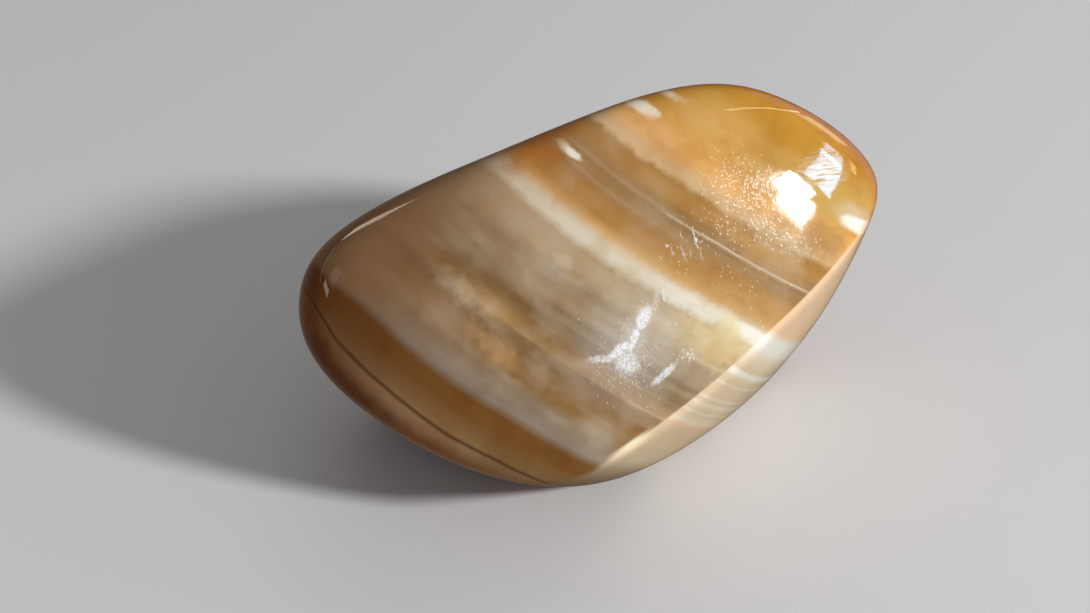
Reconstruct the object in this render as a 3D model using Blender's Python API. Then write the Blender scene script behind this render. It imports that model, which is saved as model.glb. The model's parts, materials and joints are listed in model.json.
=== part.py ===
"""A tumbled agate: one banded pebble, worn smooth, lying on the small flat where it rests.

The pebble began as a broken chip. Its fracture faces are still there as broad, slightly domed
facets, and the tumbling has ground every edge between them round. Only the edge between the big
polished face and the narrow strip under it is still fairly crisp.

Units are metres and +Z is up. +X runs along the pebble's length, the big face looks towards -Y
and up, and the origin is under the middle of the pebble, on the surface that it lies on.
"""

from dataclasses import dataclass
from math import cos, radians, sin

import bmesh
import bpy
import numpy as np
from mathutils import Matrix, Vector, noise

MM = 0.001

# Driving dimensions. The pebble measures about 38 x 24 x 24 mm.
FACE_TILT = 38.0  # degrees from the horizon up to the big face's normal
GRID = 28  # quads along each edge of the box that is pressed into the pebble
GRID_CROWDING = 0.25  # how much closer the grid lines lie at the box's edges than in its middle
BOX_LOW = Vector((-10.5, -19.0, -9.5)) * MM  # the box's corners, close to the pebble's rims:
BOX_HIGH = Vector((8.5, 19.0, 9.5)) * MM  # across and along the crisp edge, and out of the face
SHORTEST_RADIUS = 4.0 * MM  # the surface lies between these two distances from the heart
LONGEST_RADIUS = 30.0 * MM
BISECTIONS = 30  # halvings of that span for each point of the surface
REST_WEAR = 0.985  # the resting flat is worn in to this part of its facet's reach

SWELL_HEIGHT = 0.15 * MM  # shallow unevenness that the tumbling leaves
SWELL_LENGTH = 7.0 * MM  # from one swell to the next
SWELL_FADE = 5.0 * MM  # the swells die away over this height above the resting flat
SWELL_SEED = Vector((3.1, 7.7, 1.9))

AGATE_COLOUR = (0.52, 0.29, 0.12, 1.0)
AGATE_ROUGHNESS = 0.12


@dataclass(frozen=True)
class Facet:
    """One worn fracture face of the chip.

    around: degrees in the plane of the big face, from +X towards the crown.
    lift: degrees out of that plane, towards the big face's normal.
    reach: millimetres from the pebble's heart to the facet.
    crisp: how sharply it meets its neighbours; 6 is well rounded, 16 is fairly sharp and 45 crisp.
    dome: radius in millimetres that the facet bulges with, or 0 for a flat one.
    """

    around: float
    lift: float
    reach: float
    crisp: float
    dome: float = 0


# The two faces in front meet in the one crisp edge, and are rounded together into the rest.
BIG_FACE = Facet(0, 90, 9.5, crisp=45, dome=120)
STRIP = Facet(-65, 31, 12.0, crisp=45, dome=80)
FRONT_CRISP = 10

RESTING_FLAT = Facet(270, -FACE_TILT, 10.0, crisp=16)
WORN_FACETS = {
    "right end": Facet(0, 0, 22.0, crisp=7),
    "right of the crown": Facet(40, 0, 20.5, crisp=7),
    "crown": Facet(65, -10, 14.0, crisp=7),
    "long top side": Facet(100, -5, 10.0, crisp=10),
    "left of the top": Facet(140, -5, 17.5, crisp=8),
    "left end": Facet(170, -5, 21.5, crisp=7),
    "lower left end": Facet(210, -5, 19.0, crisp=7),
    "left wall": Facet(225, 0, 15.0, crisp=7),
    "left of the keel": Facet(255, 5, 13.5, crisp=8),
    "lower right side": Facet(-30, -5, 19.0, crisp=9),
    "back": Facet(0, -90, 9.5, crisp=8),
    "top of the back": Facet(90, -50, 11.5, crisp=7),
    "right of the back": Facet(0, -50, 17.0, crisp=6),
    "left of the back": Facet(180, -50, 18.0, crisp=6),
    "resting flat": RESTING_FLAT,
}


def face_direction(around, lift):
    """The unit vector that lies `around` and `lift` degrees from the big face's own axes."""
    tilt = radians(FACE_TILT)
    along = Vector((1, 0, 0))
    up_face = Vector((0, sin(tilt), cos(tilt)))
    out_of_face = Vector((0, -cos(tilt), sin(tilt)))
    a, b = radians(around), radians(lift)
    return cos(b) * (cos(a) * along + sin(a) * up_face) + sin(b) * out_of_face


def pressure(points, facet):
    """How far each point is towards the facet: 1 on it, less inside and more outside."""
    normal = np.array(face_direction(facet.around, facet.lift))
    reach = facet.reach * MM
    if facet.dome == 0:
        return np.maximum(points @ normal, 0) / reach
    depth = facet.dome * MM - reach
    from_dome_centre = np.linalg.norm(points + normal * depth, axis=1)
    return np.maximum(from_dome_centre - depth, 0) / reach


def crowding(points):
    """The facets' pressures added up, each raised to its crispness: 1 on the worn surface."""
    front = sum(pressure(points, facet) ** facet.crisp for facet in (BIG_FACE, STRIP))
    worn = sum(pressure(points, facet) ** facet.crisp for facet in WORN_FACETS.values())
    return front ** (FRONT_CRISP / BIG_FACE.crisp) + worn


def surface_radii(directions):
    """The distance from the heart to the worn surface along each direction."""
    near = np.full(len(directions), SHORTEST_RADIUS)
    far = np.full(len(directions), LONGEST_RADIUS)
    for _ in range(BISECTIONS):
        middle = (near + far) / 2
        inside = crowding(directions * middle[:, None]) < 1
        near = np.where(inside, middle, near)
        far = np.where(inside, far, middle)
    return (near + far) / 2


def swell(point, floor):
    """The height of the shallow unevenness at a point, none at the resting flat."""
    fade = min(max((point.z - floor) / SWELL_FADE, 0), 1)
    return SWELL_HEIGHT * fade * noise.noise(point / SWELL_LENGTH + SWELL_SEED)


def box_axes():
    """The box's axes: across and along the crisp edge under the big face, and out of that face."""
    across = face_direction(STRIP.around, 0)
    out_of_face = face_direction(0, 90)
    along = out_of_face.cross(across)
    return Matrix((across, along, out_of_face)).transposed()


def on_box(corner_share):
    """The place in the box for a point of a cube that runs from -1 to 1 each way.

    Grid lines are crowded towards the box's edges, because the pebble's rims are there.
    """
    place = Vector()
    for axis, share in enumerate(corner_share):
        crowded = share * (1 + GRID_CROWDING * (1 - share * share))
        middle = (BOX_LOW[axis] + BOX_HIGH[axis]) / 2
        half = (BOX_HIGH[axis] - BOX_LOW[axis]) / 2
        place[axis] = middle + half * crowded
    return place


def make_pebble():
    """The pebble as one closed mesh: a gridded box whose points are moved onto the surface."""
    mesh = bmesh.new()
    bmesh.ops.create_cube(mesh, size=2)
    bmesh.ops.subdivide_edges(mesh, edges=mesh.edges[:], cuts=GRID - 1, use_grid_fill=True)

    axes = box_axes()
    for vert in mesh.verts:
        vert.co = (axes @ on_box(vert.co)).normalized()
    radii = surface_radii(np.array([vert.co for vert in mesh.verts]))

    floor = -REST_WEAR * RESTING_FLAT.reach * MM
    for vert, radius in zip(mesh.verts, radii):
        direction = vert.co.copy()
        point = direction * float(radius)
        point += direction * swell(point, floor)
        point.z = max(point.z, floor)
        vert.co = point

    low = Vector([min(vert.co[axis] for vert in mesh.verts) for axis in range(3)])
    high = Vector([max(vert.co[axis] for vert in mesh.verts) for axis in range(3)])
    middle = (low + high) / 2
    to_origin = Vector((-middle.x, -middle.y, -floor))
    bmesh.ops.translate(mesh, vec=to_origin, verts=mesh.verts[:])
    bmesh.ops.recalc_face_normals(mesh, faces=mesh.faces[:])

    data = bpy.data.meshes.new("stone")
    mesh.to_mesh(data)
    mesh.free()
    data.shade_smooth()
    return data


def make_agate():
    """Polished agate."""
    material = bpy.data.materials.new("agate")
    material.use_nodes = True
    surface = material.node_tree.nodes["Principled BSDF"]
    surface.inputs["Base Color"].default_value = AGATE_COLOUR
    surface.inputs["Roughness"].default_value = AGATE_ROUGHNESS
    surface.inputs["Metallic"].default_value = 0.0
    return material


def clear_scene():
    """Removes whatever the file holds."""
    for item in list(bpy.data.objects):
        bpy.data.objects.remove(item, do_unlink=True)


def main():
    clear_scene()
    collection = bpy.data.collections.new("tumbled_stone")
    bpy.context.scene.collection.children.link(collection)
    stone = bpy.data.objects.new("stone", make_pebble())
    stone.data.materials.append(make_agate())
    collection.objects.link(stone)


main()
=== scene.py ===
"""A tumbled agate pebble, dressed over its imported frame.

The pebble is cut from the wall of a much larger agate, so its bands are slices of shells about
one far growth centre. The finish works in three coordinates, all in millimetres: the shell that
a point lies on, how far along the shells it is, and how far out towards the big polished face.
Bands, veins, clouds and scuffs are all placed in those coordinates, and so they run through the
whole pebble and show on every side of it.
"""

import json
import logging
import math
from dataclasses import dataclass, field
from enum import Enum

import bpy
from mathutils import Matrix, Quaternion, Vector

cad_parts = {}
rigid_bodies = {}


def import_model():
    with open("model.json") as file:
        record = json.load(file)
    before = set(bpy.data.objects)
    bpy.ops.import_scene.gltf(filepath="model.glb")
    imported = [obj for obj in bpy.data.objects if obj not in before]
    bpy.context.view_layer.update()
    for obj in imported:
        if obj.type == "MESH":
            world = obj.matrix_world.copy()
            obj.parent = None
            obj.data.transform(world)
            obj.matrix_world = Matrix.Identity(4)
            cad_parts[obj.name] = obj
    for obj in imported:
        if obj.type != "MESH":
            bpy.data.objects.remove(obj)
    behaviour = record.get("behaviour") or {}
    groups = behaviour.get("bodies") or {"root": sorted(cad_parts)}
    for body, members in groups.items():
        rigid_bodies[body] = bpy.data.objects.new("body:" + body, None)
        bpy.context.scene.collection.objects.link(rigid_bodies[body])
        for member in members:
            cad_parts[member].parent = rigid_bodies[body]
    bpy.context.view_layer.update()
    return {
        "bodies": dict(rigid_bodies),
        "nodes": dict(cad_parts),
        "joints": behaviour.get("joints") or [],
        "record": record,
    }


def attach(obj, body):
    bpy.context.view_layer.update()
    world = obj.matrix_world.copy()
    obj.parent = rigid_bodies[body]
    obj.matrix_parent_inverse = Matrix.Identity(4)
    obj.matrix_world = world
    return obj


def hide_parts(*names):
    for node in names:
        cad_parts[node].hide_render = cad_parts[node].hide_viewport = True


LOG = logging.getLogger("tumbled_stone")
MM = 0.001
FARTHEST = 4.0  # how far out a patch is measured, in its own half-sizes

Colour = tuple[float, float, float]
Triple = tuple[float, float, float]  # a place, a direction, or sizes or factors three ways
Paint = tuple[float, float, float, float]
Span = tuple[float, float]
Socket = bpy.types.NodeSocket


class Tint(Enum):
    """The agate's colours, and those of the glints, glare and highlight painted on it: red, green and
    blue from 0 to 255.
    """

    OLD_GOLD = (194, 143, 54)
    OLIVE_GOLD = (204, 170, 92)
    GOLD = (204, 160, 82)
    HONEY = (211, 167, 92)
    PEACH = (226, 173, 101)
    APRICOT = (228, 184, 130)
    SHELL_PINK = (222, 190, 148)
    CARAMEL = (182, 140, 84)
    COCOA = (169, 135, 94)
    TOFFEE = (174, 132, 80)
    AMBER = (190, 143, 82)
    LIGHT_AMBER = (212, 172, 116)
    CREAM = (220, 210, 188)
    MILK = (227, 218, 198)
    WHITE = (252, 249, 238)
    STRAW = (228, 209, 166)
    LINEN = (192, 170, 138)
    OATMEAL = (170, 149, 122)
    DRIFTWOOD = (142, 118, 86)
    TAUPE = (116, 94, 74)
    TAN = (162, 128, 83)
    NUTMEG = (133, 96, 52)
    HAZEL = (147, 111, 67)
    PEWTER = (150, 130, 107)
    LILAC = (154, 138, 125)
    UMBER = (127, 87, 41)
    FAWN = (145, 112, 74)
    BISCUIT = (158, 127, 94)
    BARK = (84, 54, 28)
    GARNET = (86, 48, 26)
    RUST = (200, 128, 50)
    PUTTY = (112, 88, 66)
    TOBACCO = (172, 142, 108)
    CLEAR_AMBER = (182, 114, 54)
    SULPHUR = (232, 212, 112)
    PALE_PEACH = (250, 216, 180)
    BLUSH = (240, 200, 168)
    SAND = (232, 210, 176)
    IVORY = (246, 230, 204)
    CANDLE = (255, 240, 205)
    FROST = (248, 252, 255)
    SPARK = (255, 244, 214)


def linear(tint: Tint) -> Paint:
    """A tint as the linear colour that shaders take, by the sRGB curve.

    Args:
        tint: one of the agate's colours.

    Returns:
        Red, green, blue and an alpha of 1.
    """
    shares = [value / 255 for value in tint.value]
    curved = [v / 12.92 if v <= 0.04045 else ((v + 0.055) / 1.055) ** 2.4 for v in shares]
    return (curved[0], curved[1], curved[2], 1.0)


@dataclass(frozen=True)
class Shell:
    """The colour that the agate has where a shell of this radius passes.

    radius: millimetres from the growth centre.
    """

    radius: float
    tint: Tint


@dataclass(frozen=True)
class Vein:
    """A thin band of its own colour.

    radius, width: millimetres, the middle of the vein and its full width.
    strength: how much it covers what is under it, from 0 to 1.
    """

    radius: float
    width: float
    tint: Tint
    strength: float


@dataclass(frozen=True)
class VeinSet:
    """Veins, in order of radius, that come and go together.

    start, end: millimetres along the shells between which they show.
    """

    start: float
    end: float
    veins: tuple[Vein, ...]


@dataclass(frozen=True)
class Cloud:
    """A soft patch of colour that lies along the shells.

    radius, along, out: millimetres, its middle on the shells, along them and out to the face.
    thick, length, depth: millimetres, its half-sizes in the same three directions.
    strength: how much it covers what is under it, from 0 to 1.
    ragged: how much its edge wanders, as a share of its half-sizes.
    soft: how far it fades, inwards and outwards, as a share of its half-sizes.
    turn: degrees that it is turned out of line with the shells.
    """

    radius: float
    along: float
    tint: Tint
    strength: float
    thick: float
    length: float
    out: float = 9.0
    depth: float = 5.0
    ragged: float = 0.5
    soft: float = 0.6
    turn: float = 0.0


@dataclass(frozen=True)
class Scuff:
    """A stroke or patch on the big face where the polish is worn.

    radius, along: millimetres, its middle on the shells and along them.
    length, width: millimetres, its half-sizes.
    turn: degrees from straight across the shells to the way that it runs.
    pits: how thickly it is pitted, from 0 to 1.
    dull: how far the gloss is gone, from 0 to 1.
    pale: how far the surface is whitened, from 0 to 1: frosted by wear, and brightened with painted
    glare.
    soft: how far it fades, inwards and outwards, as a share of its half-sizes.
    """

    radius: float
    along: float
    length: float
    width: float
    turn: float = 0.0
    pits: float = 0.0
    dull: float = 0.0
    pale: float = 0.0
    soft: float = 0.3


@dataclass(frozen=True)
class Zone:
    """A range of some measure that is entered and left gradually.

    start, full: where it begins, and from where on it is complete.
    fading, end: up to where it is complete, and where it is over.
    """

    start: float
    full: float
    fading: float
    end: float


@dataclass(frozen=True)
class Grain:
    """Smooth noise, and what it is brought to.

    scale: how many swells there are to a unit of the vector.
    detail, roughness: how many finer octaves it has, and how strong they are.
    used: the part of the noise that is used, of 0 to 1.
    to: what the ends of that part are brought to.
    eased: whether it runs into those ends softly.
    """

    scale: float
    detail: float = 2.0
    roughness: float = 0.5
    used: Span = (0.3, 0.7)
    to: Span = (0.0, 1.0)
    eased: bool = True


class NodeDesk:
    """Adds nodes to one node tree and wires them, working in plain arithmetic."""

    def __init__(self, tree: bpy.types.NodeTree) -> None:
        """Empties the node tree.

        Args:
            tree: the tree of a material or a world.
        """
        self.tree = tree
        self.tree.nodes.clear()

    def node(self, kind: str, values: dict | None = None, **settings: object) -> bpy.types.Node:
        """Adds a node and fills its inputs.

        Args:
            kind: the node's Blender type.
            values: what goes into which input, by the input's name or number: another node's
                output, which is linked, or a plain value.
            settings: its properties.

        Returns:
            The new node.
        """
        made = self.tree.nodes.new(kind)
        for name, value in settings.items():
            setattr(made, name, value)
        for place, value in (values or {}).items():
            if isinstance(value, bpy.types.NodeSocket):
                self.tree.links.new(value, made.inputs[place])
            else:
                made.inputs[place].default_value = value
        return made

    def math(self, operation: str, first: object, second: object = 0.0,
             third: object = 0.0) -> Socket:
        """One step of arithmetic on numbers."""
        values = {0: first, 1: second, 2: third}
        return self.node("ShaderNodeMath", values, operation=operation).outputs[0]

    def vector(self, operation: str, first: object, second: object = (0, 0, 0)) -> Socket:
        """One step of arithmetic on vectors.

        Args:
            operation: the node's operation.
            first, second: what it works on.

        Returns:
            A number for a dot product, a distance or a length, and a vector otherwise.
        """
        step = self.node("ShaderNodeVectorMath", {0: first, 1: second}, operation=operation)
        is_number = operation in ("DOT_PRODUCT", "DISTANCE", "LENGTH")
        return step.outputs["Value" if is_number else "Vector"]

    def scaled(self, vector: object, factor: object) -> Socket:
        """A vector times a number."""
        values = {0: vector, "Scale": factor}
        return self.node("ShaderNodeVectorMath", values, operation="SCALE").outputs["Vector"]

    def joined(self, x: object, y: object, z: object) -> Socket:
        """Three numbers as a vector."""
        return self.node("ShaderNodeCombineXYZ", {0: x, 1: y, 2: z}).outputs[0]

    def parts(self, vector: Socket) -> tuple[Socket, Socket, Socket]:
        """A vector as three numbers."""
        step = self.node("ShaderNodeSeparateXYZ", {0: vector})
        return (step.outputs[0], step.outputs[1], step.outputs[2])

    def placed(self, vector: Socket, middle: Triple, turn: float, halves: Triple) -> Socket:
        """A vector as a patch sees it, so that its length is 1 at the patch's edge.

        Args:
            vector: the place that is shaded.
            middle: the patch's middle.
            turn: degrees that the patch is turned in the first two directions.
            halves: the patch's half-sizes.

        Returns:
            The place relative to the patch.
        """
        rotation = (0.0, 0.0, math.radians(turn))
        values = {"Vector": vector, "Location": middle, "Rotation": rotation, "Scale": halves}
        return self.node("ShaderNodeMapping", values, vector_type="TEXTURE").outputs["Vector"]

    def outwards(self, vector: Socket, middle: Triple, turn: float, halves: Triple) -> Socket:
        """How far out in a patch a place is.

        A gradient measures it, because a gradient takes the patch's vector as it comes. Cycles
        converts the vector for a length, and holds those of all patches at once meanwhile.

        Args:
            vector: the place that is shaded.
            middle: the patch's middle.
            turn: degrees that the patch is turned in the first two directions.
            halves: the patch's half-sizes.

        Returns:
            0 in the middle, 1 at the edge and never more than FARTHEST.
        """
        far = (halves[0] * FARTHEST, halves[1] * FARTHEST, halves[2] * FARTHEST)
        values = {"Vector": self.placed(vector, middle, turn, far)}
        ball = self.node("ShaderNodeTexGradient", values, gradient_type="SPHERICAL")
        return self.math("MULTIPLY_ADD", ball.outputs["Fac"], -FARTHEST, FARTHEST)

    def remap(self, value: Socket, low: float, high: float, to_low: float = 0.0,
              to_high: float = 1.0, eased: bool = True) -> Socket:
        """A number brought from one range to another.

        Args:
            value: the number.
            low, high: the range that it comes from. It is held at these ends.
            to_low, to_high: the range that it is brought to.
            eased: whether it runs into the ends softly.

        Returns:
            The new number.
        """
        values = {"Value": value, "From Min": low, "From Max": high, "To Min": to_low,
                  "To Max": to_high}
        kind = "SMOOTHSTEP" if eased else "LINEAR"
        return self.node("ShaderNodeMapRange", values, interpolation_type=kind).outputs[0]

    def within(self, value: Socket, zone: Zone) -> Socket:
        """How far inside a zone a number is: 1 where the zone is complete, and 0 outside it."""
        entered = self.remap(value, zone.start, zone.full)
        return self.math("MULTIPLY", entered, self.remap(value, zone.end, zone.fading))

    def ramp(self, value: Socket, stops: list[tuple[float, Paint]]) -> bpy.types.Node:
        """A colour ramp.

        Args:
            value: what is looked up.
            stops: the values and their colours, in order.

        Returns:
            The ramp's node, whose outputs are Color and Alpha.
        """
        first, last = stops[0][0], stops[-1][0]
        step = self.node("ShaderNodeValToRGB",
                         {"Fac": self.remap(value, first, last, eased=False)})
        elements = step.color_ramp.elements
        while len(elements) < len(stops):
            elements.new(1.0)
        for element, (where, _) in zip(elements, stops):
            element.position = (where - first) / (last - first)
        for element, (_, paint) in zip(elements, stops):
            element.color = paint
        return step

    def noise(self, vector: Socket, scale: float, detail: float = 2.0,
              roughness: float = 0.5) -> Socket:
        """Smooth noise from 0 to 1 with 0.5 in the middle."""
        values = {"Vector": vector, "Scale": scale, "Detail": detail, "Roughness": roughness}
        return self.node("ShaderNodeTexNoise", values).outputs["Fac"]

    def noise_vector(self, vector: Socket, scale: float, detail: float = 2.0) -> Socket:
        """Smooth noise as a vector about zero."""
        step = self.node("ShaderNodeTexNoise", {"Vector": vector, "Scale": scale, "Detail": detail})
        return self.vector("SUBTRACT", step.outputs["Color"], (0.5, 0.5, 0.5))

    def grain(self, vector: Socket, grain: Grain) -> Socket:
        """Smooth noise, brought to the range that the grain asks for."""
        noise = self.noise(vector, grain.scale, grain.detail, grain.roughness)
        return self.remap(noise, *grain.used, *grain.to, eased=grain.eased)

    def cells(self, vector: Socket, per_mm: float) -> tuple[Socket, Socket, Socket]:
        """Scattered dots on a flat pattern.

        Args:
            vector: where the pattern is read, in millimetres.
            per_mm: how many dots there are to a millimetre.

        Returns:
            The distance to the nearest dot in cells, and two lots from 0 to 1 that it drew.
        """
        step = self.node("ShaderNodeTexVoronoi", {"Vector": vector, "Scale": per_mm},
                         voronoi_dimensions="2D")
        first, second, _ = self.parts(step.outputs["Color"])
        return (step.outputs["Distance"], first, second)

    def over(self, under: object, top: object, share: object, blend: str = "MIX") -> Socket:
        """One colour laid over another."""
        values = {"Factor": share, "A": under, "B": top}
        return self.node("ShaderNodeMix", values, data_type="RGBA", blend_type=blend).outputs["Result"]

    def lit(self, colour: Socket, light: Socket, darkest: float, lightest: float) -> Socket:
        """A colour times a number. It stays a colour all the way, with nothing to convert.

        Args:
            colour: the colour.
            light: the number.
            darkest, lightest: the limits that the number is held to.

        Returns:
            The colour, made darker or lighter.
        """
        lift = lightest / darkest
        colour = self.over(colour, (darkest, darkest, darkest, 1.0), 1.0, "MULTIPLY")
        share = self.remap(light, darkest, lightest, eased=False)
        return self.over(colour, (lift, lift, lift, 1.0), share, "MULTIPLY")


@dataclass(frozen=True)
class Growth:
    """Where the agate grew: the centre of its shells and the directions along and across them.

    centre, heart: millimetres in the frame.
    along, out, strip: unit directions along the shells, out to the big face and out to the
        narrow strip beside it.
    face_reach, strip_reach: millimetres from the heart to those two facets.
    sway, ripple: how the shells wander in slow and in quick waves: waves to a millimetre, and
        how far in millimetres.
    bow_from, bow, bow_middle: shells beyond this radius bend, by bow times the millimetres
        beyond it and the square of those along from bow_middle.
    parted_from, parted_by, parting: towards the left end the dark line and the amber under it
        run closer together, by this much from the one distance along to the other.
    parted_shells: the radii on both sides of that line that are drawn together.
    streak: how much shorter distances across, along and out are made for noise in streaks.
    """

    centre: Triple = (49.4, 20.7, 59.6)
    heart: Triple = (-0.4, 1.0, 9.9)
    along: Triple = (0.716, -0.428, -0.548)
    out: Triple = (0.0, -0.788, 0.616)
    strip: Triple = (0.362, -0.884, -0.295)
    face_reach: float = 9.5
    strip_reach: float = 12.0
    sway: Span = (0.12, 0.60)
    ripple: Span = (0.9, 0.07)
    bow_from: float = 78.6
    bow: float = 0.0015
    bow_middle: float = -6.0
    parted_from: float = -13.0
    parted_by: float = -16.2
    parting: float = 0.80
    parted_shells: Span = (81.8, 84.2)
    streak: Triple = (1.0, 0.16, 0.16)


@dataclass(frozen=True)
class Spot:
    """A place in the agate's own coordinates, as shader sockets, in millimetres.

    shell, along, out: the shell's radius, and the distances along the shells and out to the
        big face.
    strip, lead: the distance out to the strip, and how far that leads the one to the big face,
        which is 0 on the ridge between them and more on the strip.
    place: the place in the frame.
    agate: shell, along and out as one vector.
    flat: the radius without the bends of the shells, and along, as a vector.
    layers: shell, along and out, the last two shortened so that noise comes out in streaks.
    wander: shared noise from -1 to 1, for edges.
    """

    shell: Socket
    along: Socket
    out: Socket
    strip: Socket
    lead: Socket
    place: Socket
    agate: Socket
    flat: Socket
    layers: Socket
    wander: Socket


@dataclass(frozen=True)
class Wear:
    """How worn the polish is, as shader sockets from 0 to 1.

    pits, dull, pale: as for a scuff.
    sparks: bright specks painted as glints where pits catch the light.
    """

    pits: Socket
    dull: Socket
    pale: Socket
    sparks: Socket


# the bands, from the right end of the pebble to its left end
SHELLS = (
    Shell(55.0, Tint.OLD_GOLD),
    Shell(57.4, Tint.OLD_GOLD),
    Shell(58.6, Tint.GOLD),
    Shell(60.4, Tint.HONEY),
    Shell(62.2, Tint.PEACH),
    Shell(63.1, Tint.APRICOT),
    Shell(63.6, Tint.SHELL_PINK),
    Shell(63.95, Tint.SHELL_PINK),
    Shell(64.3, Tint.CARAMEL),
    Shell(65.1, Tint.CARAMEL),
    Shell(65.8, Tint.COCOA),
    Shell(66.8, Tint.COCOA),
    Shell(67.6, Tint.TOFFEE),
    Shell(68.6, Tint.AMBER),
    Shell(69.2, Tint.LIGHT_AMBER),
    Shell(69.9, Tint.MILK),
    Shell(70.4, Tint.MILK),
    Shell(70.9, Tint.LINEN),
    Shell(72.2, Tint.LINEN),
    Shell(72.9, Tint.OATMEAL),
    Shell(74.2, Tint.OATMEAL),
    Shell(75.6, Tint.DRIFTWOOD),
    Shell(76.6, Tint.TAN),
    Shell(77.1, Tint.TAN),
    Shell(77.25, Tint.NUTMEG),
    Shell(78.6, Tint.HAZEL),
    Shell(79.4, Tint.HAZEL),
    Shell(80.4, Tint.PEWTER),
    Shell(81.5, Tint.LILAC),
    Shell(82.1, Tint.UMBER),
    Shell(83.0, Tint.UMBER),
    Shell(84.2, Tint.FAWN),
    Shell(84.8, Tint.BISCUIT),
    Shell(86.4, Tint.BISCUIT),
    Shell(86.9, Tint.PUTTY),
    Shell(88.0, Tint.FAWN),
    Shell(89.6, Tint.UMBER),
    Shell(91.0, Tint.TAN),
    Shell(93.0, Tint.NUTMEG),
    Shell(95.0, Tint.BARK),
)
# the finer bands that the narrow strip shows in their place, paler partly in their own colour and
# partly with a painted sheen of the light that the strip mirrors
STRIP_SHELLS_AND_SHEEN = (
    Shell(58.0, Tint.PALE_PEACH),
    Shell(69.2, Tint.PALE_PEACH),
    Shell(69.7, Tint.WHITE),
    Shell(70.7, Tint.WHITE),
    Shell(71.2, Tint.IVORY),
    Shell(72.2, Tint.SAND),
    Shell(72.42, Tint.WHITE),
    Shell(72.60, Tint.WHITE),
    Shell(72.85, Tint.SAND),
    Shell(73.30, Tint.SAND),
    Shell(73.42, Tint.IVORY),
    Shell(73.54, Tint.SAND),
    Shell(74.40, Tint.SAND),
    Shell(74.60, Tint.IVORY),
    Shell(74.80, Tint.SAND),
    Shell(75.15, Tint.IVORY),
    Shell(75.60, Tint.SAND),
    Shell(75.78, Tint.IVORY),
    Shell(75.96, Tint.SAND),
    Shell(76.60, Tint.IVORY),
    Shell(77.00, Tint.BLUSH),
    Shell(77.30, Tint.SAND),
    Shell(80.80, Tint.SAND),
    Shell(82.00, Tint.LINEN),
    Shell(83.60, Tint.BISCUIT),
    Shell(86.00, Tint.BISCUIT),
)
VEIN_SETS = (
    # the fine line across the amber, and its faint start near the top edge
    VeinSet(0.5, 11.0, (
        Vein(65.60, 0.36, Tint.TAUPE, 0.22),
        Vein(66.15, 0.24, Tint.CREAM, 0.80),
        Vein(66.44, 0.26, Tint.TAUPE, 0.38),
    )),
    VeinSet(-8.0, 1.0, (
        Vein(66.00, 0.45, Tint.LINEN, 0.45),
        Vein(67.05, 0.40, Tint.LINEN, 0.30),
    )),
    # lines that show near the ridge
    VeinSet(4.5, 16.0, (
        Vein(72.52, 0.22, Tint.TAUPE, 0.45),
        Vein(72.90, 0.40, Tint.CREAM, 0.75),
        Vein(77.02, 0.24, Tint.APRICOT, 0.40),
    )),
    # faint lines in the grey middle
    VeinSet(-4.0, 14.0, (
        Vein(73.60, 0.40, Tint.TAUPE, 0.16),
        Vein(74.05, 0.36, Tint.LINEN, 0.30),
        Vein(74.65, 0.46, Tint.TAUPE, 0.34),
        Vein(75.08, 0.32, Tint.LINEN, 0.34),
        Vein(75.44, 0.36, Tint.TAUPE, 0.20),
        Vein(75.95, 0.30, Tint.LINEN, 0.26),
    )),
    # the dark line round the left end
    VeinSet(-40.0, 40.0, (
        Vein(84.58, 0.36, Tint.BARK, 0.90),
    )),
)
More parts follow.
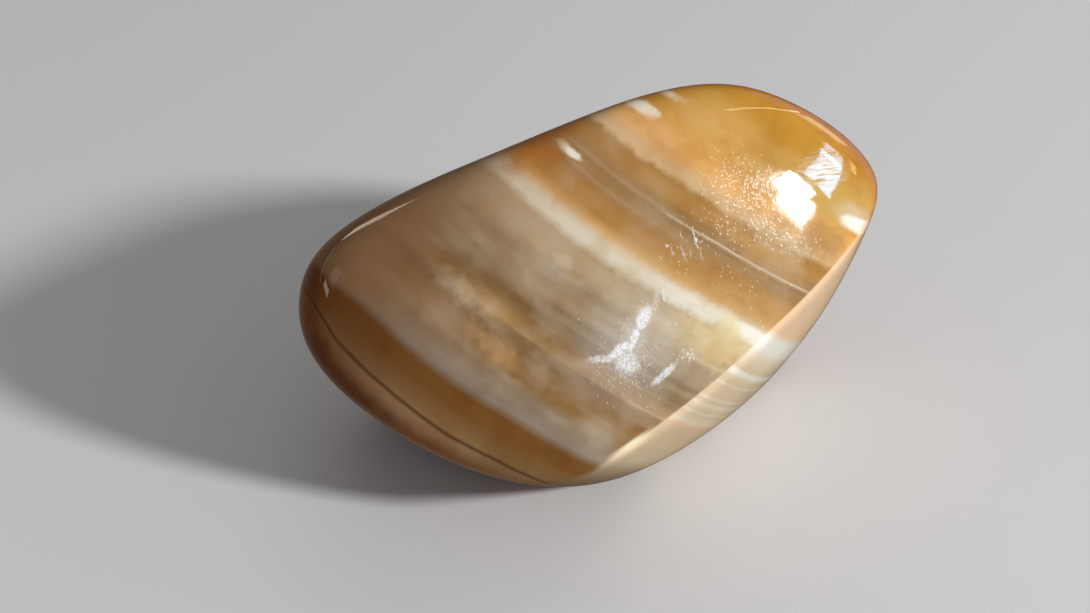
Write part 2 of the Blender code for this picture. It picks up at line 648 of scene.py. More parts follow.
CLOUDS = (
    # the golden right end, with two white flecks at the top edge
    # painted shade: darkens the face right of the highlight, where the key lamp lights it most
    Cloud(62.7, 9.4, Tint.TOFFEE, 0.6, 1.0, 1.9, out=8.2),
    Cloud(60.0, 9.8, Tint.OLIVE_GOLD, 0.6, 1.3, 2.0, out=8.0),
    Cloud(60.5, 10.8, Tint.CREAM, 0.5, 0.7, 1.4, out=8.0, ragged=0.3),
    Cloud(60.95, 11.5, Tint.WHITE, 0.95, 0.50, 1.55, out=7.8, depth=6, ragged=0.2, soft=0.35),
    # painted light: the warm glow of light shining through beside the highlight
    Cloud(59.4, 0.8, Tint.PEACH, 0.35, 1.2, 2.2, ragged=0.7),
    Cloud(59.4, -3.6, Tint.OLD_GOLD, 0.75, 1.7, 2.3, out=7.8, depth=7.0),
    Cloud(58.0, 4.6, Tint.OLD_GOLD, 0.8, 0.7, 2.4),
    Cloud(60.2, 5.0, Tint.OLD_GOLD, 0.5, 0.8, 1.6, ragged=0.7),
    Cloud(60.0, -1.6, Tint.APRICOT, 0.35, 0.7, 1.8, ragged=0.7),
    Cloud(61.6, -4.7, Tint.WHITE, 1.0, 0.38, 0.9, ragged=0.45, soft=0.45, turn=12),
    Cloud(59.8, -3.7, Tint.IVORY, 0.8, 0.28, 0.8, out=7.6, ragged=0.4),
    Cloud(62.2, -3.2, Tint.APRICOT, 0.45, 0.6, 1.8, ragged=0.5),
    # the amber beside it, with rust and a white fleck at the top edge
    Cloud(66.3, -10.4, Tint.RUST, 0.85, 3.2, 2.6, out=6.4, depth=7.0, ragged=0.3),
    Cloud(66.6, -7.4, Tint.CREAM, 0.85, 0.27, 0.80, ragged=0.6),
    Cloud(66.62, -7.0, Tint.WHITE, 1.0, 0.22, 0.55, ragged=0.4, soft=0.45),
    Cloud(64.3, 6.5, Tint.LINEN, 0.6, 0.6, 2.2),
    Cloud(65.2, 6.8, Tint.LIGHT_AMBER, 0.42, 1.0, 2.6),
    Cloud(68.3, 7.5, Tint.LIGHT_AMBER, 0.45, 1.0, 3.6),
    # the white band, its straw-coloured lower end and the grey after it
    Cloud(70.2, 8.8, Tint.WHITE, 0.95, 0.50, 2.0, ragged=0.3, soft=0.4),
    Cloud(70.4, 7.0, Tint.SULPHUR, 0.50, 0.6, 0.7, ragged=0.6),
    Cloud(71.6, 6.9, Tint.STRAW, 0.95, 1.1, 3.2),
    Cloud(70.1, 4.6, Tint.WHITE, 0.40, 0.6, 2.6),
    Cloud(71.9, 3.4, Tint.CREAM, 0.40, 0.35, 1.5),
    Cloud(72.2, -8.6, Tint.LINEN, 0.40, 0.9, 2.6),
    Cloud(72.1, -4.2, Tint.CREAM, 0.45, 0.35, 0.6, ragged=0.3),
    Cloud(72.6, 4.2, Tint.LINEN, 0.50, 1.2, 1.9),
    # the mottled band
    Cloud(77.2, -8.3, Tint.CREAM, 0.62, 0.55, 1.5, ragged=0.6, soft=0.8),
    Cloud(78.9, -8.6, Tint.LINEN, 0.40, 1.0, 2.6, ragged=0.6, soft=0.9),
    Cloud(78.9, -4.6, Tint.APRICOT, 0.38, 0.55, 1.5, ragged=0.6, soft=0.8),
    Cloud(76.9, -6.6, Tint.GOLD, 0.35, 0.55, 1.8, ragged=0.6, soft=0.8),
    Cloud(75.6, -2.2, Tint.NUTMEG, 0.36, 0.9, 2.8, ragged=0.6),
    # the dark garnet of the left end
    Cloud(87.2, -10.5, Tint.GARNET, 1.0, 1.5, 7.5, out=6.0, depth=9.0, ragged=0.3),
)
SCUFFS = (
    # specks round the light on the right of the face
    Scuff(61.7, 4.4, 1.1, 1.4, pits=1.0, soft=0.6),
    Scuff(62.4, 2.6, 1.8, 2.0, pits=0.26, soft=0.8),
    Scuff(65.0, 3.0, 1.5, 1.7, pits=0.20, soft=0.8),
    Scuff(63.5, 6.8, 1.1, 2.2, pits=0.34, soft=0.8),
    Scuff(68.0, 6.2, 1.6, 2.3, pits=0.10, soft=0.8),
    # strokes left of them
    Scuff(67.2, 2.0, 1.8, 1.5, pits=0.12, soft=0.8),
    Scuff(66.5, 2.2, 0.62, 0.055, turn=49, pits=0.6, dull=0.3, pale=0.75),
    Scuff(66.8, 1.35, 0.28, 0.05, turn=52, pale=0.5),
    Scuff(67.65, 2.05, 0.48, 0.05, turn=55, pale=0.42),
    Scuff(67.5, 2.45, 0.28, 0.05, turn=50, pale=0.40),
    Scuff(67.9, 1.35, 0.32, 0.05, turn=58, pale=0.32),
    Scuff(67.8, 0.85, 0.14, 0.08, turn=50, pale=0.60),
    Scuff(67.2, 3.1, 0.32, 0.05, turn=42, pale=0.28),
    Scuff(68.6, 0.9, 0.16, 0.05, turn=60, pale=0.35),
    # the worn patch in the middle: two strokes, the web under them and the slash beside it
    Scuff(70.45, 2.25, 0.42, 0.05, turn=42, pale=0.70),
    Scuff(71.30, 2.15, 0.75, 0.22, turn=24, pits=0.7, pale=0.35, soft=0.7),
    Scuff(72.35, 1.95, 0.80, 0.42, turn=6, pits=0.4, dull=0.8, pale=1.0, soft=0.5),
    Scuff(73.75, 2.10, 1.00, 0.26, turn=10, pits=0.4, dull=0.8, pale=1.0, soft=0.5),
    Scuff(74.75, 1.65, 0.90, 0.30, turn=-20, pits=0.3, dull=0.8, pale=1.0, soft=0.5),
    Scuff(75.15, 2.50, 0.75, 0.82, pits=0.7, dull=0.7, pale=0.84, soft=0.7),
    Scuff(75.75, 1.05, 0.90, 0.25, turn=-60, pits=0.8, dull=0.6, pale=0.70, soft=0.6),
    Scuff(74.60, 3.40, 0.70, 0.50, pits=0.7, pale=0.20, soft=0.9),
    Scuff(73.60, 2.05, 1.90, 1.00, turn=6, pits=0.20, pale=0.42, soft=0.9),
    Scuff(74.60, 2.30, 2.60, 2.40, pits=0.12, dull=0.1, pale=0.25, soft=0.9),
    Scuff(76.00, 2.60, 0.90, 1.80, pits=0.40, dull=0.2, soft=0.8),
    Scuff(74.67, 4.90, 0.95, 0.23, turn=-18, dull=0.5, pale=0.78, soft=0.4),
    Scuff(73.00, 5.50, 0.70, 0.45, turn=-35, pits=0.8, dull=0.2, pale=0.10, soft=0.6),
)
# darker towards the left end: partly the agate's deeper colour, partly painted shade of the light that
# comes from the right
LEFT_DEPTH_AND_SHADE = [
    # distance along the shells, and what the colour is multiplied by there
    (-17.0, (0.54, 0.42, 0.34, 1.0)),
    (-12.0, (0.58, 0.48, 0.40, 1.0)),
    (-8.5, (0.80, 0.74, 0.69, 1.0)),
    (-5.0, (0.91, 0.87, 0.84, 1.0)),
    (0.0, (0.95, 0.94, 0.92, 1.0)),
    (5.0, (1.0, 1.0, 1.0, 1.0)),
]
RAMP_STOPS = 14  # shells to a colour ramp


@dataclass(frozen=True)
class AgateFinish:
    """Polished banded agate: shells of colour, veins, clouds, fine lines and a worn polish.

    Zones are radii of shells in millimetres, and noise is per millimetre. Two numbers are most
    often a range that is passed over softly, and four are a range and what its ends are brought
    to. The three numbers of a noise are its scale, its octaves and their strength.
    """

    name: str = "banded_agate"
    growth: Growth = field(default_factory=Growth)
    roughness: float = 0.05
    refraction: float = 1.54
    glow: float = 0.35
    glow_reach: float = 1.5 * MM
    glow_colour: Colour = (1.0, 0.55, 0.25)

    # wandering edges, and by how many millimetres they move the bands
    wander: Grain = Grain(0.9, 3.0, 0.6, (0.25, 0.75), (-1.0, 1.0), eased=False)
    lobed: tuple[tuple[Zone, float], ...] = ((Zone(62.8, 63.8, 64.5, 65.2), 0.20),
                                             (Zone(69.9, 70.5, 71.1, 71.8), 0.15))
    strip_lobes: float = 0.07
    vein_lobes: float = 1.5
    vein_fade: float = 1.8

    # the strip, which shows its own bands: how steeply it begins past the ridge, and where
    ridge_shells: Span = (79.5, 82.5)
    ridge_steepness: Span = (80.0, 9.0)
    strip_begins: Span = (9.2, 10.6)
    strip_cover: float = 0.85

    # growth lines, broad streaks, and how light and dark both may get together
    hair: Grain = Grain(2.2, 2.0, 0.55, (0.30, 0.70), (-1.0, 1.0), eased=False)
    hair_depth: float = 0.018
    grey_hair_depth: float = 0.03
    grey_zone: Zone = Zone(71.6, 73.2, 76.0, 77.0)
    streaks: Grain = Grain(0.7, 2.0, 0.5, (0.3, 0.7), (0.94, 1.06))
    brightness: Span = (0.88, 1.12)

    # milky drifts, and the deepening and lightening of the whole stone
    drift: Grain = Grain(0.65, 2.0, 0.5, (0.38, 0.78), (0.0, 0.36))
    drift_stretch: Triple = (1.0, 0.35, 0.35)
    drift_zone: Zone = Zone(70.6, 72.5, 80.0, 81.6)
    mottle_noise: tuple[float, float, float] = (0.38, 3.0, 0.55)
    deep: tuple[float, ...] = (0.55, 0.32, 0.0, 0.75)
    deep_paint: Paint = (0.86, 0.77, 0.60, 1.0)
    milky: tuple[float, ...] = (0.5, 0.72, 0.0, 0.12)
    milky_zone: Zone = Zone(63.2, 64.4, 81.2, 82.0)
    strip_calm: float = 0.75

    # the left end, and the clear rims all round
    bands_fade: tuple[float, ...] = (-8.5, -14.0, 0.0, 0.8)
    bands_fade_above: Span = (81.7, 81.2)
    rims_begin: Span = (8.0, 6.4)
    rim_cover: float = 0.30
    rim_depth: float = 0.70
    rim_paint: Paint = (0.86, 0.58, 0.33, 1.0)

    # the light along the low end of the ridge
    ridge_glow_middle: Triple = (79.3, 5.4, 0.0)
    ridge_glow_turn: float = 145.0
    ridge_glow_halves: Triple = (1.9, 1.6, 1.0)
    ridge_glow_fade: Span = (1.1, 0.0)
    ridge_glow_on_face: Span = (-0.022, 0.002)
    ridge_glow_on_strip: Span = (0.11, 0.0)

    # the wear of the big face: torn edges, whitened speckles that are partly painted glare, and dashes
    # painted as glints
    tears: Span = (4.2, 3.0)  # noise to a millimetre, and its octaves
    tear_reach: float = 0.45
    wear_begins: Span = (7.4, 8.4)
    speckle: Grain = Grain(6.5, 3.0, 0.8, (0.38, 0.56), (0.45, 1.0))
    dash_turn: float = 52.0
    dash_stretch: Triple = (2.4, 0.9, 1.0)
    dashes_per_mm: float = 11.5
    patchiness: tuple[float, ...] = (-0.8, 0.5, 0.20, 0.90)
    dot_edge: Span = (0.46, 0.12)
    dot_growth: float = 0.16
    dimmest_spark: float = 0.15

    # the gloss, and the hair scratches in it near the right end
    gloss: Span = (-0.015, 0.02)
    gloss_noise: float = 0.5
    dullness: float = 0.28
    spark_dullness: float = 0.2
    scratched_middle: Triple = (58.6, 7.5, 0.0)
    scratched_turn: float = 124.0
    scratched_halves: Triple = (1.9, 1.2, 1.0)
    scratched_edge: Span = (1.1, 0.8)
    scratch_stretch: Triple = (1.1, 10.0, 0.0)
    scratches: Grain = Grain(1.0, 3.0, 0.65, (0.51, 0.58), (0.0, 0.46))

    # bumps: waves in the polish, pits and, where it is dull, grain
    polish_waves: float = 0.9
    polish_height: float = 0.0035 * MM
    pit_edge: Span = (0.45, 0.0)
    pit_share: float = 0.5
    rough_noise: tuple[float, float, float] = (7.0, 1.0, 0.6)
    rough_height: float = 0.06
    pit_height: float = 0.010 * MM

    def build(self) -> bpy.types.Material:
        """Builds the material.

        Returns:
            The finished material.
        """
        material = bpy.data.materials.new(self.name)
        material.use_nodes = True
        desk = AgateDesk(material.node_tree, self)
        desk.paint()
        shader = desk.node("ShaderNodeBsdfPrincipled", {
            "Base Color": desk.colour,
            "Roughness": desk.polish(),
            "Normal": desk.relief(),
            "IOR": self.refraction,
            "Subsurface Weight": self.glow,
            "Subsurface Radius": self.glow_colour,
            "Subsurface Scale": self.glow_reach,
        })
        desk.node("ShaderNodeOutputMaterial", {"Surface": shader.outputs["BSDF"]})
        return material


class AgateDesk(NodeDesk):
    """The agate's nodes, wired layer by layer.

    look: the finish that they follow.
    spot: the place that is shaded.
    on_strip: 1 on the narrow strip beside the big face, and 0 elsewhere.
    worn: how worn the place is.
    colour: its colour so far.
    """

    def __init__(self, tree: bpy.types.NodeTree, look: AgateFinish) -> None:
        """Finds the place that is shaded, its wear and the colour of its band.

        The wear comes before the colours. Worked out after them it has to wait beside them, and
        that takes more values at once than Cycles can hold, which turns the material black.

        Args:
            tree: the material's tree.
            look: the finish.
        """
        super().__init__(tree)
        self.look = look
        self.spot = self.locate()
        self.on_strip = self.strip_mask()
        self.worn = self.wear()
        self.colour = self.bands(self.lobed_shell(), SHELLS)

    def paint(self) -> None:
        """Lays the other layers over the bands."""
        self.fine_lines()
        for vein_set in VEIN_SETS:
            self.lay_veins(vein_set)
        self.haze()
        for cloud in CLOUDS:
            self.lay_cloud(cloud)
        self.clear_rims()
        self.lay_strip_and_sheen()
        self.mottle()
        self.left_end()
        self.ridge_glow()
        # whitened scuffs: frosted wear, brightened with painted glare
        self.lay(Tint.FROST, self.worn.pale)
        # painted glints on the pits
        self.lay(Tint.SPARK, self.worn.sparks)

    def lay(self, top: Tint | Paint | Socket, share: object, blend: str = "MIX") -> None:
        """Lays a colour over the colour so far."""
        paint = linear(top) if isinstance(top, Tint) else top
        self.colour = self.over(self.colour, paint, share, blend)

    def locate(self) -> Spot:
        """The agate's own coordinates for the place that is shaded.

        Returns:
            The coordinates.
        """
        growth = self.look.growth
        place = self.scaled(self.node("ShaderNodeTexCoord").outputs["Object"], 1 / MM)
        from_heart = self.vector("SUBTRACT", place, growth.heart)
        along = self.vector("DOT_PRODUCT", from_heart, growth.along)
        out = self.vector("DOT_PRODUCT", from_heart, growth.out)
        strip = self.vector("DOT_PRODUCT", from_heart, growth.strip)
        lead = self.math("MULTIPLY_ADD", strip, 1 / growth.strip_reach,
                         self.math("MULTIPLY", out, -1 / growth.face_reach))
        radius = self.vector("DISTANCE", place, growth.centre)
        wavy = place
        for per_mm, reach in (growth.sway, growth.ripple):
            wave = self.scaled(self.noise_vector(place, per_mm, detail=1.0), reach)
            wavy = self.vector("ADD", wavy, wave)
        shell = self.bend(self.vector("DISTANCE", wavy, growth.centre), along)
        agate = self.joined(shell, along, out)
        flat = self.joined(radius, along, 0.0)
        layers = self.vector("MULTIPLY", agate, growth.streak)
        wander = self.grain(place, self.look.wander)
        return Spot(shell, along, out, strip, lead, place, agate, flat, layers, wander)

    def bend(self, shell: Socket, along: Socket) -> Socket:
        """Bends the outer shells, and draws two of them together at the left end.

        Args:
            shell, along: the shell's radius and the distance along it.

        Returns:
            The radius that the colours go by.
        """
        growth = self.look.growth
        beyond = self.math("MAXIMUM", self.math("SUBTRACT", shell, growth.bow_from), 0.0)
        off_middle = self.math("SUBTRACT", along, growth.bow_middle)
        bent = self.math("MULTIPLY", self.math("MULTIPLY", off_middle, off_middle), growth.bow)
        shell = self.math("MULTIPLY_ADD", beyond, bent, shell)
        parted = self.remap(along, growth.parted_from, growth.parted_by, eased=False)
        side = self.remap(shell, *growth.parted_shells, -growth.parting, growth.parting,
                          eased=False)
        return self.math("MULTIPLY_ADD", parted, side, shell)

    def strip_mask(self) -> Socket:
        """The narrow strip beside the big face.

        Returns:
            1 on the strip, and 0 elsewhere.
        """
        look, spot = self.look, self.spot
        steepness = self.remap(spot.shell, *look.ridge_shells, *look.ridge_steepness)
        past_ridge = self.remap(self.math("MULTIPLY", spot.lead, steepness), 0.0, 1.0)
        near = self.remap(spot.strip, *look.strip_begins)
        return self.math("MULTIPLY", past_ridge, near)

    def lobed_shell(self) -> Socket:
        """The shell's radius, with two of the shells' edges made lobed.

        Returns:
            The radius.
        """
        reach: object = 0.0
        for zone, lobes in self.look.lobed:
            reach = self.math("MULTIPLY_ADD", self.within(self.spot.shell, zone), lobes, reach)
        return self.math("MULTIPLY_ADD", self.spot.wander, reach, self.spot.shell)

    def bands(self, shell: Socket, shells: tuple[Shell, ...]) -> Socket:
        """The shells' colours, from colour ramps that follow on each other.

        Args:
            shell: the radius at each place.
            shells: the radii and their tints, in order.

        Returns:
            The colour.
        """
        colour = None
        for first in range(0, len(shells) - 1, RAMP_STOPS):
            part = shells[first:first + RAMP_STOPS + 1]
            ramp = self.ramp(shell, [(stop.radius, linear(stop.tint)) for stop in part])
            if colour is None:
                colour = ramp.outputs["Color"]
                continue
            past = self.math("GREATER_THAN", shell, part[0].radius)
            colour = self.over(colour, ramp.outputs["Color"], past)
        return colour

    def fine_lines(self) -> None:
        """Draws soft growth lines, strongest in the grey middle of the pebble."""
        look, spot = self.look, self.spot
        hair = self.grain(spot.layers, look.hair)
        share = self.math("MULTIPLY_ADD", self.within(spot.shell, look.grey_zone),
                          look.grey_hair_depth, look.hair_depth)
        streaks = self.grain(spot.layers, look.streaks)
        light = self.math("MULTIPLY_ADD", hair, share, streaks)
        self.colour = self.lit(self.colour, light, *look.brightness)

    def lay_veins(self, vein_set: VeinSet) -> None:
        """Lays a set of veins over the colour.

        Args:
            vein_set: the veins.
        """
        stops = []
        for vein in vein_set.veins:
            red, green, blue, _ = linear(vein.tint)
            for side, cover in ((-0.5, 0.0), (0.0, vein.strength), (0.5, 0.0)):
                stops.append((vein.radius + side * vein.width, (red, green, blue, cover)))
        ramp = self.ramp(self.spot.shell, stops)
        reach = self.math("MULTIPLY_ADD", self.spot.wander, self.look.vein_lobes,
                          self.spot.along)
        start, end, fade = vein_set.start, vein_set.end, self.look.vein_fade
        shown = self.within(reach, Zone(start - fade, start + fade, end - fade, end + fade))
        share = self.math("MULTIPLY", ramp.outputs["Alpha"], shown)
        self.lay(ramp.outputs["Color"], share)

    def haze(self) -> None:
        """Lays milky drifts over the paler half of the pebble."""
        look, spot = self.look, self.spot
        drift = self.grain(self.vector("MULTIPLY", spot.agate, look.drift_stretch), look.drift)
        share = self.math("MULTIPLY", drift, self.within(spot.shell, look.drift_zone))
        self.lay(Tint.CREAM, share)

    def lay_cloud(self, cloud: Cloud) -> None:
        """Lays one cloud over the colour.

        Args:
            cloud: the cloud.
        """
        middle = (cloud.radius, cloud.along, cloud.out)
        halves = (cloud.thick, cloud.length, cloud.depth)
        outwards = self.outwards(self.spot.agate, middle, cloud.turn, halves)
        distance = self.math("MULTIPLY_ADD", self.spot.wander, cloud.ragged, outwards)
        share = self.remap(distance, 1 + cloud.soft, 1 - cloud.soft, 0.0, cloud.strength)
        self.lay(cloud.tint, share)

    def clear_rims(self) -> None:
        """Lays clear amber over the rims, the sides and the back, where the bands show less."""
        look = self.look
        depth = self.remap(self.spot.out, *look.rims_begin)
        off_strip = self.math("MULTIPLY", depth, self.math("SUBTRACT", 1.0, self.on_strip))
        self.lay(Tint.CLEAR_AMBER, self.math("MULTIPLY", off_strip, look.rim_cover))
        deepening = self.math("MULTIPLY", off_strip, look.rim_depth)
        self.lay(look.rim_paint, deepening, "MULTIPLY")

    def lay_strip_and_sheen(self) -> None:
        """Lays the strip's own bands over the colour, paled partly with a painted sheen of mirrored
        light.
        """
        shell = self.math("MULTIPLY_ADD", self.spot.wander, self.look.strip_lobes,
                          self.spot.shell)
        bands = self.bands(shell, STRIP_SHELLS_AND_SHEEN)
        self.lay(bands, self.math("MULTIPLY", self.on_strip, self.look.strip_cover))

    def mottle(self) -> None:
        """Deepens and lightens the whole stone in soft patches, less so on the strip."""
        look, spot = self.look, self.spot
        soft = self.noise(spot.place, *look.mottle_noise)
        calm = self.math("MULTIPLY_ADD", self.on_strip, -look.strip_calm, 1.0)
        deep = self.math("MULTIPLY", self.remap(soft, *look.deep), calm)
        self.lay(look.deep_paint, deep, "MULTIPLY")
        milky = self.math("MULTIPLY", self.remap(soft, *look.milky),
                          self.within(spot.shell, look.milky_zone))
        self.lay(Tint.CREAM, self.math("MULTIPLY", milky, calm))

    def left_end(self) -> None:
        """Deepens the colour towards the left end, where the bands fade in clearer agate; the
        deepening is partly the agate's own and partly painted shade of the light that comes from the
        right.
        """
        look, spot = self.look, self.spot
        faded = self.math("MULTIPLY", self.remap(spot.along, *look.bands_fade),
                          self.remap(spot.shell, *look.bands_fade_above))
        self.lay(Tint.TOBACCO, faded)
        shade = self.ramp(spot.along, LEFT_DEPTH_AND_SHADE)
        self.lay(shade.outputs["Color"], 1.0, "MULTIPLY")

    def ridge_glow(self) -> None:
        """Lays light along the lower end of the ridge, on the strip's side."""
        look, spot = self.look, self.spot
        outwards = self.outwards(spot.flat, look.ridge_glow_middle, look.ridge_glow_turn,
                                 look.ridge_glow_halves)
        near = self.remap(outwards, *look.ridge_glow_fade)
        face_side = self.remap(spot.lead, *look.ridge_glow_on_face)
        strip_side = self.remap(spot.lead, *look.ridge_glow_on_strip)
        share = self.math("MULTIPLY", near, self.math("MULTIPLY", face_side, strip_side))
        self.lay(Tint.CANDLE, share)

    def wear(self) -> Wear:
        """Where the big face is pitted, dulled and whitened, the whitening partly painted glare, and
        where glints are painted on its pits.

        Returns:
            The wear.
        """
        look, spot = self.look, self.spot
        tears = self.scaled(self.noise_vector(spot.place, *look.tears), look.tear_reach)
        torn = self.vector("ADD", spot.flat, self.vector("MULTIPLY", tears, (1.0, 1.0, 0.0)))
        total: object = (0.0, 0.0, 0.0)
        for scuff in SCUFFS:
            outwards = self.outwards(torn, (scuff.radius, scuff.along, 0.0), scuff.turn,
                                     (scuff.length, scuff.width, 1.0))
            share = self.remap(outwards, 1 + scuff.soft, 1 - scuff.soft)
            amount = self.scaled((scuff.pits, scuff.dull, scuff.pale), share)
            total = self.vector("MAXIMUM", amount, total)
        on_face = self.remap(spot.out, *look.wear_begins)
        pits, dull, pale = self.parts(self.scaled(total, on_face))
        clean = self.math("SUBTRACT", 1.0, pale)
        speckle = self.math("MAXIMUM", self.grain(spot.place, look.speckle), clean)
        distance, lot, size = self.dashes()
        patchy = self.remap(spot.wander, *look.patchiness, eased=False)
        chosen = self.math("LESS_THAN", lot, self.math("MULTIPLY", pits, patchy))
        grown = self.math("MULTIPLY_ADD", pits, -look.dot_growth, distance)
        dot = self.remap(grown, *look.dot_edge)
        bright = self.remap(size, 0.0, 1.0, look.dimmest_spark, 1.0, eased=False)
        sparks = self.math("MULTIPLY", self.math("MULTIPLY", dot, chosen), bright)
        return Wear(pits, dull, self.math("MULTIPLY", pale, speckle),
                    self.math("MULTIPLY", sparks, clean))

    def dashes(self) -> tuple[Socket, Socket, Socket]:
        """Scattered dots on the big face, drawn out into short dashes.

        Returns:
            The distance to the nearest dash and its two lots, as for cells.
        """
        look = self.look
        plane = self.placed(self.spot.flat, (0.0, 0.0, 0.0), look.dash_turn, look.dash_stretch)
        return self.cells(plane, look.dashes_per_mm)

    def polish(self) -> Socket:
        """How rough the surface is: glossy, a little uneven, and dull where it is scuffed.

        Returns:
            The roughness.
        """
        look, spot = self.look, self.spot
        least, most = (look.roughness + change for change in look.gloss)
        uneven = self.grain(spot.place, Grain(look.gloss_noise, to=(least, most)))
        dull = self.math("MULTIPLY_ADD", self.worn.dull, look.dullness, uneven)
        lines = self.placed(spot.flat, look.scratched_middle, look.scratched_turn,
                            look.scratched_halves)
        near = self.remap(self.vector("LENGTH", lines), *look.scratched_edge)
        stretched = self.vector("MULTIPLY", lines, look.scratch_stretch)
        scratch = self.math("MULTIPLY", near, self.grain(stretched, look.scratches))
        rough = self.math("ADD", dull, scratch)
        return self.math("MULTIPLY_ADD", self.worn.sparks, look.spark_dullness, rough)

    def relief(self) -> Socket:
        """Pits, grain where it is dull and a faint unevenness in the polish, as bumps.

        Returns:
            The bumped normal.
        """
        look, spot = self.look, self.spot
        waves = self.noise(spot.place, look.polish_waves)
        swell = self.node("ShaderNodeBump", {
            "Strength": 1.0, "Distance": look.polish_height, "Height": waves})
        distance, lot, _ = self.dashes()
        pit = self.math("MULTIPLY", self.remap(distance, *look.pit_edge),
                        self.math("LESS_THAN", lot, look.pit_share))
        grain = self.math("MULTIPLY", self.noise(spot.place, *look.rough_noise),
                          look.rough_height)
        bumps = self.node("ShaderNodeBump", {
            "Strength": self.math("MAXIMUM", self.worn.pits, self.worn.dull),
            "Distance": look.pit_height,
            "Height": self.math("MULTIPLY_ADD", pit, -1.0, grain),
            "Normal": swell.outputs["Normal"]})
        return bumps.outputs["Normal"]


@dataclass
class Stone:
    """The pebble itself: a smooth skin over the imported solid, dressed in agate.

    node, name: the CAD node, and the piece that is shown for it.
    join_within: metres, how near two corners are one.
    squared_up: degrees, how far two triangles that are joined to a square may be out.
    rounds: how often the skin is rounded off.
    """

    node: str = "stone"
    name: str = "agate_pebble"
    join_within: float = 0.005 * MM
    squared_up: float = 50.0
    rounds: int = 2
    finish: AgateFinish = field(default_factory=AgateFinish)

    def build(self, frame: dict) -> bpy.types.Object:
        """Makes the skin and dresses it.


        Returns:
            The finished piece.
        """
        piece = self.skin(frame["nodes"][self.node])
        self.smooth(piece)
        piece.data.materials.clear()
        piece.data.materials.append(self.finish.build())
        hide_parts(self.node)
        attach(piece, "root")
        return piece

    def skin(self, solid: bpy.types.Object) -> bpy.types.Object:
        """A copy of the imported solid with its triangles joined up.

        Args:
            solid: the CAD node.

        Returns:
            The copy, as one closed mesh of mostly square faces.
        """
        bpy.ops.object.select_all(action="DESELECT")
        piece = bpy.data.objects.new(self.name, solid.data.copy())
        bpy.context.scene.collection.objects.link(piece)
        piece.select_set(True)
        bpy.context.view_layer.objects.active = piece
        bpy.ops.object.mode_set(mode="EDIT")
        bpy.ops.mesh.select_all(action="SELECT")
        bpy.ops.mesh.remove_doubles(threshold=self.join_within)
        most = math.radians(self.squared_up)
        bpy.ops.mesh.tris_convert_to_quads(face_threshold=most, shape_threshold=most)
        bpy.ops.object.mode_set(mode="OBJECT")
        return piece

    def smooth(self, piece: bpy.types.Object) -> None:
        """Rounds the faceted copy off with a Subdivision Surface, applied.

        Args:
            piece: the copy.
        """
        surface = piece.modifiers.new("rounding", "SUBSURF")
        surface.levels = self.rounds
        surface.render_levels = self.rounds
        bpy.ops.object.modifier_apply(modifier=surface.name)
        bpy.ops.object.shade_smooth()


class LampShape(Enum):
    """The outline of a lamp."""

    OBLONG = "RECTANGLE"
    OVAL = "ELLIPSE"


class LampUse(Enum):
    """What a lamp is for."""

    LIGHTING = "lighting"
    MIRRORING = "mirroring"


@dataclass(frozen=True)
class Lamp:
    """A soft lamp that faces the pebble.

    azimuth, elevation: degrees from -Y towards +X, and above the floor.
    distance, width, height: metres.
    power: watts.
    turn: degrees that it is rolled about the line to the pebble.
    use: whether it lights the scene, or is only mirrored in the polish.
    """

    name: str
    azimuth: float
    elevation: float
    distance: float
    width: float
    height: float
    power: float
    colour: Colour = (1.0, 1.0, 1.0)
    turn: float = 0.0
    shape: LampShape = LampShape.OBLONG
    use: LampUse = LampUse.MIRRORING


LAMPS = (
    Lamp("key", 46, 31, 0.50, 0.060, 0.060, 2.26, (0.99, 0.98, 0.97), shape=LampShape.OVAL,
         use=LampUse.LIGHTING),
    Lamp("window_high", 45.2, 30.1, 0.50, 0.047, 0.038, 0.20, (0.96, 0.98, 1.0), turn=6),
    Lamp("window_low", 42.8, 28.3, 0.50, 0.038, 0.037, 0.17, (0.96, 0.98, 1.0), turn=14),
    Lamp("far_window", 60.6, 29.1, 0.50, 0.156, 0.052, 0.50, (0.36, 0.68, 1.0)),
    Lamp("far_window_end", 74, 28.0, 0.50, 0.116, 0.048, 0.20, (0.42, 0.66, 0.90), turn=-8),
    Lamp("back_line", -155, 36, 0.50, 0.085, 0.290, 0.32, (1.0, 0.86, 0.72)),
    Lamp("left_line", -79, 31, 0.50, 0.150, 0.034, 0.045, (1.0, 0.90, 0.82)),
    Lamp("left_shine", -72, 41, 0.50, 0.150, 0.090, 0.025, (1.0, 0.84, 0.72)),
    Lamp("left_arc", -122, 24, 0.50, 0.360, 0.010, 0.020, (1.0, 0.88, 0.76)),
    Lamp("right_line", 98, 36, 0.50, 0.0055, 0.480, 0.075, (1.0, 0.90, 0.55), turn=50),
    Lamp("right_fleck", 80, 20, 0.50, 0.080, 0.022, 0.030, (1.0, 0.80, 0.34), turn=-10),
    Lamp("right_shine", 108, 18, 0.50, 0.100, 0.140, 0.14, (1.0, 0.88, 0.55), turn=40),
    Lamp("right_veil", 114, 6, 0.50, 0.380, 0.420, 0.24, (0.30, 0.55, 1.0)),
    Lamp("left_veil", -132, 42, 0.50, 0.420, 0.420, 0.070, (1.0, 0.74, 0.58)),
    Lamp("rim_fill", 165, 45, 0.60, 0.400, 0.400, 0.28, (1.0, 0.95, 0.88),
         use=LampUse.LIGHTING),
)


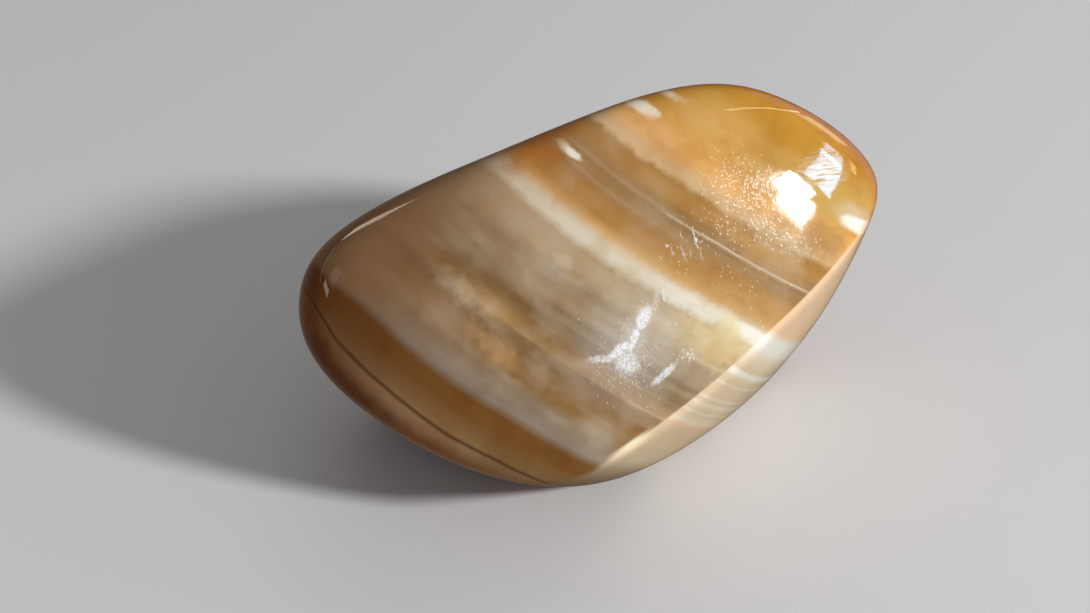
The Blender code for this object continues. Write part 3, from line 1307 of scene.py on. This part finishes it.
@dataclass
class Studio:
    """The pale floor, the soft lights and the camera.

    floor_size: metres.
    sky_light, sky_seen, mirrored_light: the sky's strength as light, as it is seen and as the
        polish mirrors it.
    lamp_aim: millimetres, the point that the lamps face.
    camera_side: the camera's azimuth and elevation, as for a lamp.
    camera_aim, camera_distance: millimetres, the point that it looks at and how far off it is.
    lens, sensor: millimetres.
    nearest, farthest: metres, what the camera sees.
    """

    floor_size: float = 6.0
    floor_colour: Colour = (0.72, 0.72, 0.73)
    floor_roughness: float = 0.42
    sky: Colour = (0.96, 0.98, 1.0)
    sky_light: float = 0.26
    sky_seen: float = 0.70
    mirrored_sky: Colour = (1.0, 0.78, 0.58)
    mirrored_light: float = 0.11
    lamp_aim: Triple = (0.0, 0.0, 10.0)
    camera_side: Span = (-19.0, 42.1)
    camera_aim: Triple = (-2.8, 1.0, 9.0)
    camera_distance: float = 118.6
    lens: float = 60.0
    sensor: float = 36.0
    nearest: float = 0.005
    farthest: float = 20.0

    def build(self) -> None:
        """Sets up the floor, the sky, the lamps and the camera."""
        self.floor()
        self.backdrop_light()
        for lamp in LAMPS:
            self.lamp(lamp)
        self.camera()
        bpy.context.scene.view_settings.view_transform = "Standard"

    def floor(self) -> None:
        """A plain pale floor, left out of the polish's reflections."""
        bpy.ops.object.select_all(action="DESELECT")
        bpy.ops.mesh.primitive_plane_add(size=self.floor_size)
        floor = bpy.context.object
        floor.name = "floor"
        floor.visible_glossy = False
        material = bpy.data.materials.new("pale_floor")
        material.use_nodes = True
        desk = NodeDesk(material.node_tree)
        shader = desk.node("ShaderNodeBsdfPrincipled", {
            "Base Color": (*self.floor_colour, 1.0), "Roughness": self.floor_roughness})
        desk.node("ShaderNodeOutputMaterial", {"Surface": shader.outputs["BSDF"]})
        floor.data.materials.append(material)

    def backdrop_light(self) -> None:
        """An even sky: pale where it is seen, dim as light and dimmer in the polish."""
        world = bpy.data.worlds.new("studio")
        bpy.context.scene.world = world
        world.use_nodes = True
        desk = NodeDesk(world.node_tree)
        rays = desk.node("ShaderNodeLightPath")
        seen, mirrored = rays.outputs["Is Camera Ray"], rays.outputs["Is Glossy Ray"]
        strength = desk.math("MULTIPLY_ADD", seen, self.sky_seen - self.sky_light,
                             self.sky_light)
        strength = desk.math("MULTIPLY_ADD", mirrored, self.mirrored_light - self.sky_light,
                             strength)
        colour = desk.over((*self.sky, 1.0), (*self.mirrored_sky, 1.0), mirrored)
        background = desk.node("ShaderNodeBackground", {"Color": colour, "Strength": strength})
        desk.node("ShaderNodeOutputWorld", {"Surface": background.outputs["Background"]})

    def lamp(self, lamp: Lamp) -> None:
        """Hangs one lamp.

        Args:
            lamp: its sizes and place.
        """
        back = direction(lamp.azimuth, lamp.elevation)
        light = bpy.data.lights.new(lamp.name, "AREA")
        light.shape = lamp.shape.value
        light.size = lamp.width
        light.size_y = lamp.height
        light.energy = lamp.power
        light.color = lamp.colour
        hung = bpy.data.objects.new(lamp.name, light)
        hung.location = Vector(self.lamp_aim) * MM + back * lamp.distance
        roll = Quaternion((0, 0, 1), math.radians(lamp.turn))
        hung.rotation_euler = (back.to_track_quat("Z", "Y") @ roll).to_euler()
        hung.visible_diffuse = lamp.use is LampUse.LIGHTING
        hung.visible_glossy = lamp.use is LampUse.MIRRORING
        bpy.context.scene.collection.objects.link(hung)

    def camera(self) -> None:
        """A camera that looks down on the big face from the front left."""
        back = direction(*self.camera_side)
        data = bpy.data.cameras.new("camera")
        data.lens = self.lens
        data.sensor_width = self.sensor
        data.clip_start = self.nearest
        data.clip_end = self.farthest
        camera = bpy.data.objects.new("camera", data)
        camera.location = Vector(self.camera_aim) * MM + back * self.camera_distance * MM
        camera.rotation_euler = back.to_track_quat("Z", "Y").to_euler()
        bpy.context.scene.collection.objects.link(camera)
        bpy.context.scene.camera = camera


def direction(azimuth: float, elevation: float) -> Vector:
    """The unit vector towards a place round the pebble.

    Args:
        azimuth: degrees from -Y towards +X.
        elevation: degrees above the floor.

    Returns:
        The direction.
    """
    turn, rise = math.radians(azimuth), math.radians(elevation)
    return Vector((math.sin(turn) * math.cos(rise), -math.cos(turn) * math.cos(rise),
                   math.sin(rise)))


def main() -> None:
    logging.basicConfig(level=logging.INFO, format="%(name)s: %(message)s")
    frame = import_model()
    piece = Stone().build(frame)
    LOG.info("%s: %d faces", piece.name, len(piece.data.polygons))
    Studio().build()
    LOG.info("studio ready")


if __name__ == "__main__":
    main()
